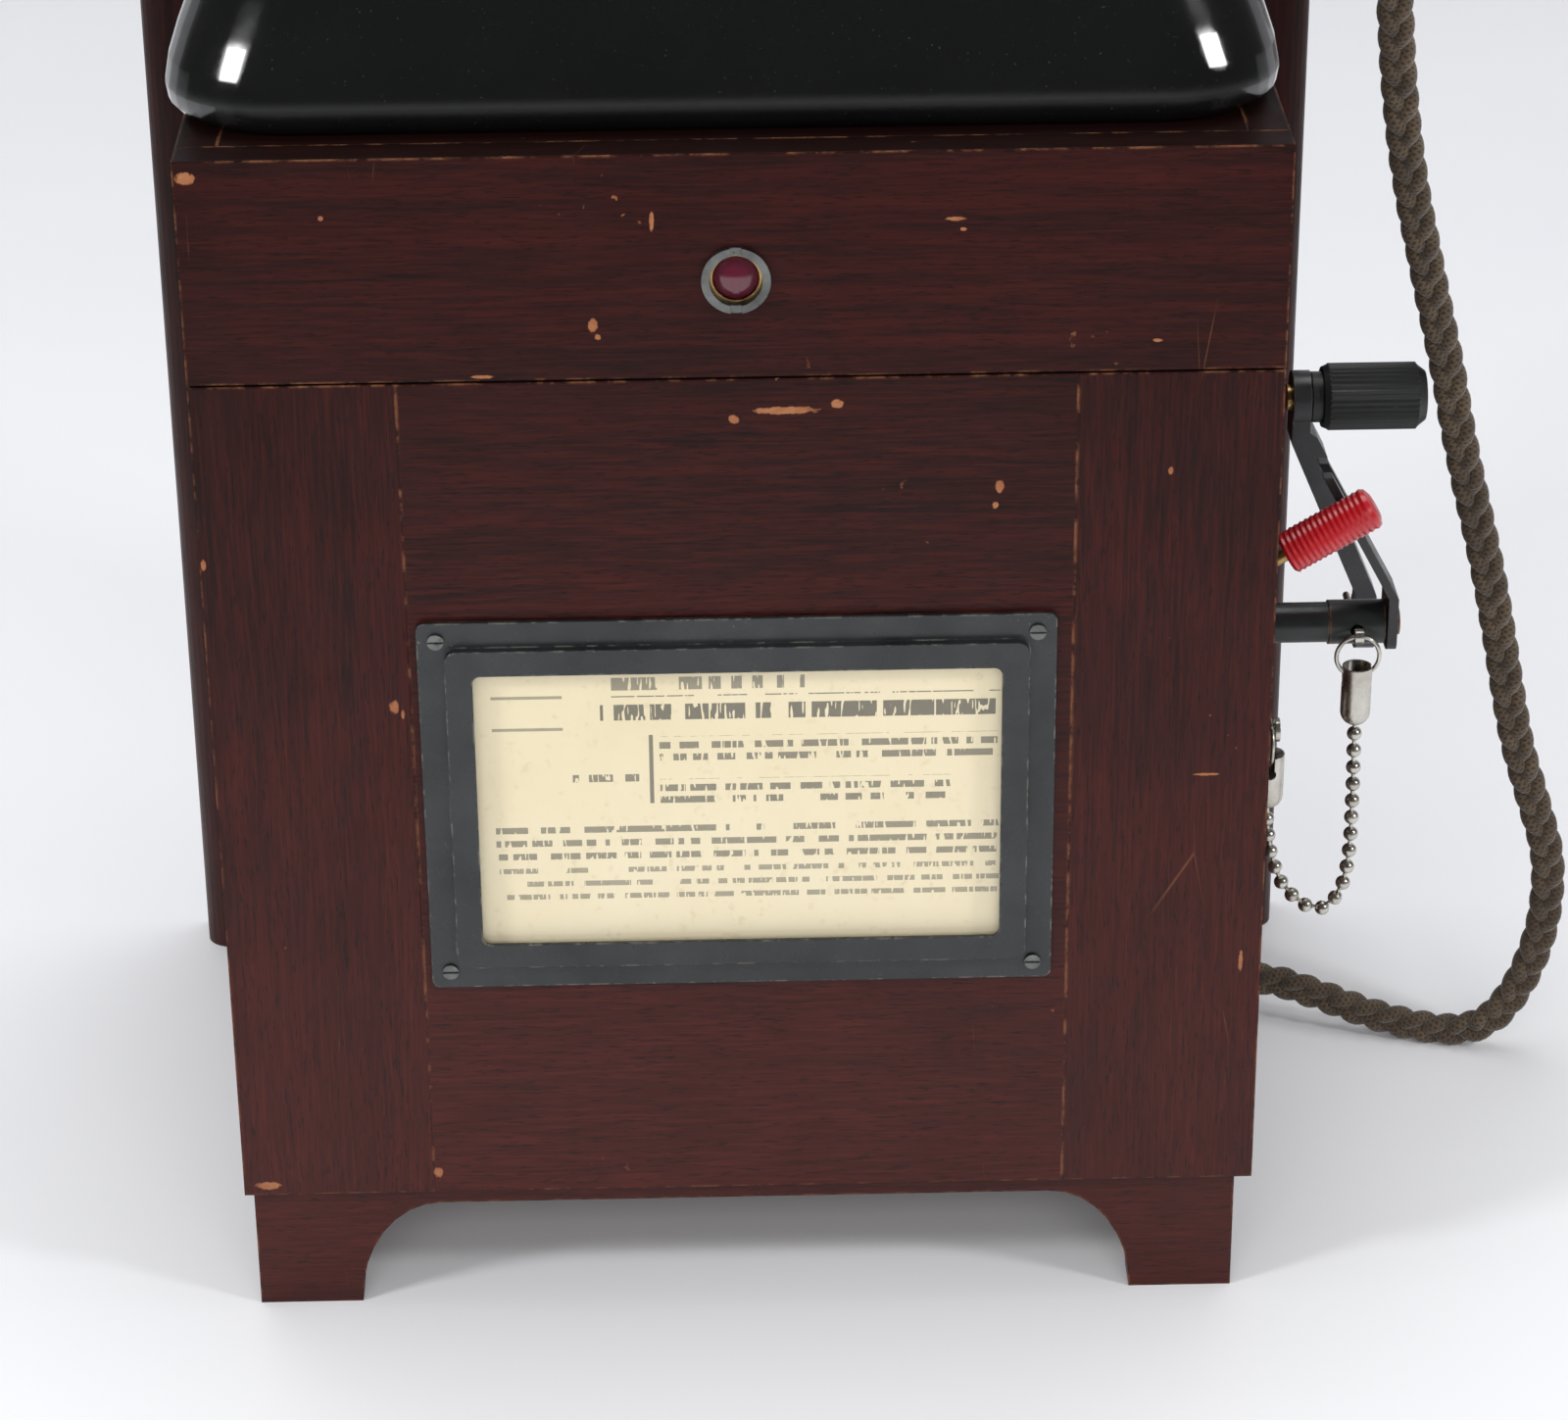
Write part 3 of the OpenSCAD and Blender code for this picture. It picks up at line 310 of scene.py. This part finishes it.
def card():
    """Aged instruction card."""
    m = Mat("aged card", rough=0.8)
    x, z = m.axis(X), m.axis(Z)
    base = m.mix(m.ramp(m.noise(22, 4), 0.3, 0.75), (0.86, 0.75, 0.56), (0.80, 0.68, 0.47))
    base = m.mix(m.ramp(m.noise(380, 3), 0.60, 0.72, 0, 0.25), base, (0.55, 0.42, 0.22))

    def inside(ink, x0, x1, z0, z1):
        """Keep ink only inside one rectangle."""
        for a, op, v in ((x, "GREATER_THAN", x0), (x, "LESS_THAN", x1),
                         (z, "GREATER_THAN", z0), (z, "LESS_THAN", z1)):
            ink = m.math("MULTIPLY", ink, m.math(op, a, v))
        return ink

    def row_ink(z0, pitch, height, word, seed):
        """Rows of word-like bars, without letters."""
        count = m.math("DIVIDE", m.math("SUBTRACT", z, z0), pitch)
        row = m.math("FLOOR", count)
        on_row = m.math("LESS_THAN", m.math("FRACT", count), height / pitch)
        n = m.t.nodes.new("ShaderNodeTexNoise")
        n.noise_dimensions = "2D"
        c = m.t.nodes.new("ShaderNodeCombineXYZ")
        m.put(c.inputs[0], m.math("MULTIPLY", x, 1.0 / word))
        m.put(c.inputs[1], m.math("MULTIPLY", m.math("ADD", row, seed), ROW_JUMP))
        m.put(n.inputs["Vector"], c.outputs[0])
        n.inputs["Scale"].default_value = 1.0
        n.inputs["Detail"].default_value = 0.0
        gap = m.math("GREATER_THAN", n.outputs["Fac"], 0.40)
        broken = m.noise(1.0, 0, 0.5, 0, m.scaled((1400, 1, 260)))
        fine = m.math("GREATER_THAN", broken, 0.36)
        return m.math("MULTIPLY", m.math("MULTIPLY", on_row, gap), fine)

    inks = []
    for x0, x1, z0, z1, pitch, height, word, seed, weight in PRINT_ROWS:
        ink = inside(row_ink(z0, pitch, height, word, seed), x0, x1, z0, z1)
        inks.append(m.math("MULTIPLY", ink, weight))
    for x0, x1, z0, z1, weight in PRINT_RULES:
        inks.append(inside(weight, x0, x1, z0, z1))
    ink_all = inks[0]
    for ink in inks[1:]:
        ink_all = m.math("MAXIMUM", ink_all, ink)
    m.set(Base_Color=m.mix(ink_all, base, (0.045, 0.04, 0.03)))
    return m.bump(m.noise(700, 4), 0.12, 0.0002)


def glass(name):
    """Solid glass for the bulb."""
    m = Mat(name, (0.93, 0.95, 0.93), IOR=1.45, Transmission_Weight=1.0)
    m.set(Roughness=m.ramp(m.noise(80, 4), 0.4, 0.8, 0.04, 0.09))
    return m


def pane(name):
    """Thin window glass that lets light straight through, with a soft reflection."""
    m = Mat(name)
    t = m.t
    clear = t.nodes.new("ShaderNodeBsdfTransparent")
    clear.inputs[0].default_value = (0.97, 0.975, 0.96, 1)
    shine = t.nodes.new("ShaderNodeBsdfGlossy")
    m.put(shine.inputs["Roughness"], m.ramp(m.noise(70, 4), 0.3, 0.8, 0.06, 0.16))
    both = t.nodes.new("ShaderNodeMixShader")
    m.put(both.inputs[0], 0.045)
    t.links.new(clear.outputs[0], both.inputs[1])
    t.links.new(shine.outputs[0], both.inputs[2])
    out = [n for n in t.nodes if n.type == "OUTPUT_MATERIAL"][0]
    t.links.new(both.outputs[0], out.inputs["Surface"])
    return m


WEAVE_ROUND = 5           # crossings round one strand
WEAVE_ALONG = 900         # crossings per metre of strand


def braid():
    """Brown cotton braid, woven in two directions over each strand."""
    m = Mat("plaited cord", rough=0.85)
    uv = m.t.nodes.new("ShaderNodeTexCoord").outputs["UV"]
    around = m.math("MULTIPLY", m.axis(0, uv), TURN * WEAVE_ROUND)
    along = m.math("MULTIPLY", m.axis(1, uv), TURN * WEAVE_ALONG)
    weave = m.math("MAXIMUM", m.math("SINE", m.math("ADD", around, along)),
                   m.math("SINE", m.math("SUBTRACT", around, along)))
    col = m.mix(m.ramp(m.noise(180, 4), 0.35, 0.7), (0.060, 0.040, 0.024), (0.120, 0.082, 0.048))
    # painted shade: the hollows of the weave are darker
    col = m.mix(m.ramp(weave, 0.9, -0.2, 0, 0.7), col, (0.016, 0.011, 0.008))
    col = m.mix(m.ramp(m.noise(30, 3), 0.5, 0.75, 0, 0.5), col, (0.045, 0.028, 0.017))
    m.set(Base_Color=col, Sheen_Weight=0.25, Sheen_Roughness=0.5)
    fibre = m.math("ADD", m.math("MULTIPLY", weave, 0.6), m.noise(2600, 3))
    return m.bump(fibre, 0.55, 0.0003)


looks = {
    "wood_x": wood("mahogany across", X), "wood_z": wood("mahogany upright", Z),
    "wood_y": wood("mahogany deep", Y, 0.8), "wood_back": wood("mahogany backboard", Z, 0.75, 0.4),
    "brass": metal("aged brass", (0.58, 0.40, 0.16), 0.32, (0.32, 0.20, 0.08), 0.5),
    "bell_brass": metal("bell brass", (0.72, 0.54, 0.24), 0.2, (0.6, 0.43, 0.18)),
    "nickel": metal("worn nickel", (0.62, 0.60, 0.55), 0.28, (0.46, 0.43, 0.37), 0.5),
    "steel": metal("plain steel", (0.42, 0.43, 0.43), 0.34, (0.27, 0.27, 0.26), 0.5),
    "bezel": metal("dull bezel", (0.22, 0.23, 0.22), 0.42, (0.12, 0.12, 0.115), 0.7),
    "black_paint": painted("black paint", (0.008, 0.008, 0.009), 0.3, (0.30, 0.22, 0.15),
                           wear=0.55, low=0.54),
    "frame_paint": painted("frame enamel", (0.010, 0.011, 0.012), 0.26, (0.34, 0.32, 0.27),
                           wear=0.75, grain=0.3),
    "rod_paint": painted("rod paint", (0.007, 0.008, 0.008), 0.3, (0.50, 0.26, 0.13),
                         wear=0.9, low=0.46),
    "magnet_paint": painted("magnet paint", (0.13, 0.02, 0.015), 0.4, (0.3, 0.3, 0.3), 0.7),
    "grey_can": painted("grey can", (0.22, 0.24, 0.22), 0.45, (0.5, 0.5, 0.48), 0.6),
    "copper": metal("enamelled copper", (0.42, 0.15, 0.06), 0.35, (0.25, 0.08, 0.03)),
    "coil": plastic("varnished cloth", (0.10, 0.03, 0.015), 0.5, 0.2),
    "moulding": plastic("brown moulding", (0.02, 0.012, 0.008), 0.4),
    "fluted": plastic("moulded grip", (0.013, 0.014, 0.014), 0.38, 0.35),
    "red": plastic("red grip", (0.50, 0.008, 0.016), 0.22, dust=0.05, sub=0.35, coat=0.3),
    "jewel": plastic("plum jewel", (0.085, 0.007, 0.020), 0.16, dust=0.1, sub=0.3, coat=0.6),
    "gloss": plastic("polished black", (0.0045, 0.0048, 0.005), 0.08, dust=0.12, coat=0.5,
                     mottle=30, soft=0.004),
    "ivory": plastic("ivory", (0.62, 0.55, 0.40), 0.25),
    "rubber": plastic("black rubber", (0.012, 0.012, 0.012), 0.6, 0.4),
    "glass": glass("bulb glass"), "window": pane("window glass"),
    "card": card(), "cord": braid(),
}
USE = {
    "wood_x": "front_rail door_panel plinth_front case_bottom case_top generator_shelf",
    "wood_z": "door_stile_left door_stile_right case_side_left case_side_right",
    "wood_y": "plinth_sides", "wood_back": "backboard",
    "brass": "door_hinge_leaves case_hinge_leaves hinge_pin spindle_bush knob_pin key_lever "
             "lamp_retainer lamp_holder drive_gear generator_frame",
    "bell_brass": "bell_gongs",
    "nickel": "catch_stud locking_pin pin_ring pin_coupling bead_chain chain_anchor anchor_coupling",
    "bezel": "lamp_bezel label_screws", "steel": "crank_spindle armature_pinion key_switch bell_hammer",
    "rod_paint": "lock_rod", "frame_paint": "label_frame", "black_paint": "locking_arm crank_arm key_plate",
    "magnet_paint": "generator_magnets", "copper": "armature", "coil": "induction_coil ringer",
    "grey_can": "capacitor", "moulding": "terminal_strip", "fluted": "crank_knob", "red": "key_knob",
    "jewel": "lamp_jewel", "glass": "lamp_bulb", "window": "label_glass", "card": "label_card",
    "gloss": "telephone_body cradle handset_handle handset_caps", "ivory": "cradle_plungers",
    "rubber": "cord_gland", "cord": "handset_cord",
}
for look, names in USE.items():
    for n in names.split():
        NODES[n].data.materials.clear()
        NODES[n].data.materials.append(looks[look].m)

# Smooth shading where the surface is round
for n, o in NODES.items():
    o.data.shade_smooth()
    o.data.set_sharp_from_angle(angle=math.radians(SHARP_ANGLE))


# ---------------------------------------------------------------- cord
# The part's own cord route, in millimetres from the case's front face
ROUTE = [
    (104, 142, 29), (105, 142, 22), (110, 142, 13), (122, 142, 10), (136, 140, 11),
    (148, 138, 11.5), (160, 133, 10), (174, 128, 6.5), (187, 124, 4.3), (198, 121, 4.3),
    (207, 119, 8), (214, 118, 18), (219, 118, 32), (221, 118, 47), (220, 118, 62),
    (215, 118, 79), (210, 118, 95), (206, 118, 113), (203, 118, 128), (199, 117, 146),
    (195, 117, 162), (191, 116, 177), (187.5, 116, 192), (184.5, 116, 206), (180, 115, 224),
    (176, 113, 240), (172, 110, 256), (168.5, 108, 274), (166, 106, 291), (164, 104, 309),
    (161.5, 102, 328), (158.5, 100, 347), (154.5, 98, 365), (149, 97, 382), (142, 96, 397),
    (138.5, 96, 408), (134, 96, 417), (128.5, 96, 421.3), (122.1, 96, 421.5)]
RUNG = 0.0009             # spacing of the cord's cross-sections
STRANDS = 3
STRAND_R = 0.0022
STRAND_SIDES = 10
PLAIT_PITCH = 0.0205      # length of one full plait
PLAIT_WIDE, PLAIT_DEEP = 0.0025, 0.0012     # how far a strand swings each way
route = np.array([[x / 1000, y / 1000 - OY, z / 1000] for x, y, z in ROUTE])


def smooth_path(p, per):
    """Catmull-Rom through the points."""
    q = np.vstack([2 * p[0] - p[1], p, 2 * p[-1] - p[-2]])
    out = []
    for i in range(1, len(q) - 2):
        for k in range(per):
            t = k / per
            out.append(0.5 * (2 * q[i] + (q[i + 1] - q[i - 1]) * t
                              + (2 * q[i - 1] - 5 * q[i] + 4 * q[i + 1] - q[i + 2]) * t * t
                              + (3 * q[i] - q[i - 1] - 3 * q[i + 1] + q[i + 2]) * t ** 3))
    out.append(p[-1])
    return np.array(out)


def frames(p):
    """Steady axes across the path."""
    t = np.gradient(p, axis=0)
    t /= np.linalg.norm(t, axis=1)[:, None]
    u = np.cross(t[0], [0, 1, 0])
    us = []
    for ti in t:
        u = u - ti * u.dot(ti)
        u /= np.linalg.norm(u)
        us.append(u.copy())
    us = np.array(us)
    return us, np.cross(t, us)


def tube(name, pts, radius, sides, mat):
    """A closed tube along the points, with its UV's v in metres along it."""
    us, vs = frames(pts)
    d = np.concatenate([[0], np.cumsum(np.linalg.norm(np.diff(pts, axis=0), axis=1))])
    ang = (np.arange(sides) * 2 * math.pi / sides)[None, :, None]
    ring = pts[:, None, :] + radius * (us[:, None, :] * np.cos(ang) + vs[:, None, :] * np.sin(ang))
    verts = ring.reshape(-1, 3).tolist()
    faces, uvs = [], []
    for i in range(len(pts) - 1):
        for k in range(sides):
            k2 = (k + 1) % sides
            here, there = i * sides, (i + 1) * sides
            faces.append((here + k, there + k, there + k2, here + k2))
            u0, u1 = k / sides, (k + 1) / sides
            uvs += [(u0, d[i]), (u0, d[i + 1]), (u1, d[i + 1]), (u1, d[i])]
    faces.append(tuple(range(sides)))
    uvs += [(0, 0)] * sides
    faces.append(tuple((len(pts) - 1) * sides + k for k in range(sides - 1, -1, -1)))
    uvs += [(0, d[-1])] * sides
    me = bpy.data.meshes.new(name)
    me.from_pydata(verts, [], faces)
    lay = me.uv_layers.new(name="UVMap")
    lay.data.foreach_set("uv", np.array(uvs, np.float32).ravel())
    me.materials.append(mat)
    me.shade_smooth()
    o = bpy.data.objects.new(name, me)
    bpy.context.scene.collection.objects.link(o)
    return o


centre = smooth_path(route, 8)
step = np.concatenate([[0], np.cumsum(np.linalg.norm(np.diff(centre, axis=0), axis=1))])
CORD_L = float(step[-1])
even = np.linspace(0, CORD_L, int(CORD_L / RUNG))
line = np.stack([np.interp(even, step, centre[:, k]) for k in range(3)], axis=1)
us, vs = frames(line)
strands = []
for k in range(STRANDS):
    phase = even / PLAIT_PITCH * 2 * math.pi + k * 2 * math.pi / STRANDS
    pts = (line + us * (PLAIT_WIDE * np.sin(phase))[:, None]
           + vs * (PLAIT_DEEP * np.sin(2 * phase))[:, None])
    strands.append(tube("cord_strand_%d" % k, pts, STRAND_R, STRAND_SIDES, looks["cord"].m))
for o in bpy.data.objects:
    o.select_set(o in strands)
bpy.context.view_layer.objects.active = strands[0]
bpy.ops.object.join()
cord = strands[0]
cord.name = "plaited_cord"
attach(cord, "case")
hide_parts("handset_cord")


# ---------------------------------------------------------------- floor, light, camera
FLOOR_FRONT, FLOOR_BACK = -3.0, 1.2
CURVE_R = 0.9
WALL_TOP = 4.0
HALF_WIDTH = 4.0


def sweep():
    """A seamless paper sweep: floor, a curve and a wall."""
    prof = [(FLOOR_FRONT, 0.0), (FLOOR_BACK, 0.0)]
    prof += [(FLOOR_BACK + CURVE_R * math.sin(a), CURVE_R - CURVE_R * math.cos(a))
             for a in np.linspace(0.1, math.pi / 2, 16)]
    prof.append((FLOOR_BACK + CURVE_R, WALL_TOP))
    verts = [(x, y, z) for y, z in prof for x in (-HALF_WIDTH, HALF_WIDTH)]
    faces = [(2 * i, 2 * i + 1, 2 * i + 3, 2 * i + 2) for i in range(len(prof) - 1)]
    me = bpy.data.meshes.new("sweep")
    me.from_pydata(verts, [], faces)
    me.shade_smooth()
    o = bpy.data.objects.new("sweep", me)
    bpy.context.scene.collection.objects.link(o)
    m = Mat("paper sweep", (0.84, 0.85, 0.875), 0.6)
    m.set(Base_Color=m.mix(m.ramp(m.noise(3, 3), 0.3, 0.7),
                           (0.83, 0.84, 0.87), (0.86, 0.87, 0.89)))
    m.bump(m.noise(900, 3), 0.03, 0.0002)
    me.materials.append(m.m)
    return o


sweep()

world = bpy.data.worlds.new("studio")
bpy.context.scene.world = world
world.use_nodes = True
wt = world.node_tree
soft = wt.nodes["Background"]
soft.inputs[0].default_value = (0.97, 0.96, 0.975, 1)
soft.inputs[1].default_value = 0.46
dim = wt.nodes.new("ShaderNodeBackground")     # what shiny surfaces see: a dark studio
dim.inputs[0].default_value = (0.20, 0.20, 0.19, 1)
dim.inputs[1].default_value = 0.35
path = wt.nodes.new("ShaderNodeLightPath")
pick = wt.nodes.new("ShaderNodeMixShader")
wt.links.new(path.outputs["Is Glossy Ray"], pick.inputs[0])
wt.links.new(soft.outputs[0], pick.inputs[1])
wt.links.new(dim.outputs[0], pick.inputs[2])
wt.links.new(pick.outputs[0], wt.nodes["World Output"].inputs[0])


def area(name, at, target, size, power, color=(1, 1, 1), size_y=None):
    """One area light aimed at a point, kept out of the part."""
    light = bpy.data.lights.new(name, "AREA")
    light.energy = power
    light.color = color
    light.size = size
    if size_y:
        light.shape = "RECTANGLE"
        light.size_y = size_y
    o = bpy.data.objects.new(name, light)
    o.location = at
    o.rotation_euler = (Vector(target) - Vector(at)).to_track_quat("-Z", "Y").to_euler()
    bpy.context.scene.collection.objects.link(o)
    return o


area("left softbox", (-1.25, -0.85, 0.95), (0, -0.1, 0.3), 0.28, 10)
area("right softbox", (1.25, -0.85, 0.95), (0, -0.1, 0.3), 0.22, 7)
front = area("front fill", (0.0, -2.0, 0.9), (0, -0.2, 0.15), 1.8, 17, (1, 0.99, 0.97), 1.0)
front.visible_glossy = False      # it lifts the front without a reflection in it
area("overhead", (0.0, 0.2, 1.9), (0, 0, 0.1), 1.4, 15, (1, 1, 1), 1.0)

# The camera was solved from the corners of the case front
CAM_AT = (-0.0073, -0.985 - OY, 0.6624)
CAM_LENS = 105.75                 # millimetres, on a 36 mm sensor
CAM_TURN = (1.007, 26.633, 0.561)     # degrees: yaw, pitch down, roll
cam_data = bpy.data.cameras.new("camera")
cam_data.sensor_width = 36.0
cam_data.lens = CAM_LENS
cam_data.clip_start = 0.02
cam = bpy.data.objects.new("camera", cam_data)
yaw, pitch, roll = (math.radians(a) for a in CAM_TURN)
forward = Vector((math.sin(yaw) * math.cos(pitch), math.cos(yaw) * math.cos(pitch),
                  -math.sin(pitch)))
level = Vector((math.cos(yaw), -math.sin(yaw), 0))
down = forward.cross(level)
cam_x = math.cos(roll) * level + math.sin(roll) * down
cam_down = -math.sin(roll) * level + math.cos(roll) * down
turn = Matrix((cam_x, -cam_down, -forward)).transposed().to_4x4()
cam.matrix_world = Matrix.Translation(CAM_AT) @ turn
bpy.context.scene.collection.objects.link(cam)
bpy.context.scene.camera = cam

sc = bpy.context.scene
sc.render.engine = "CYCLES"
sc.cycles.samples = 64
sc.cycles.use_denoising = True
sc.render.resolution_x, sc.render.resolution_y = 1600, 1449
sc.view_settings.view_transform = "Standard"
sc.view_settings.exposure = 0.0
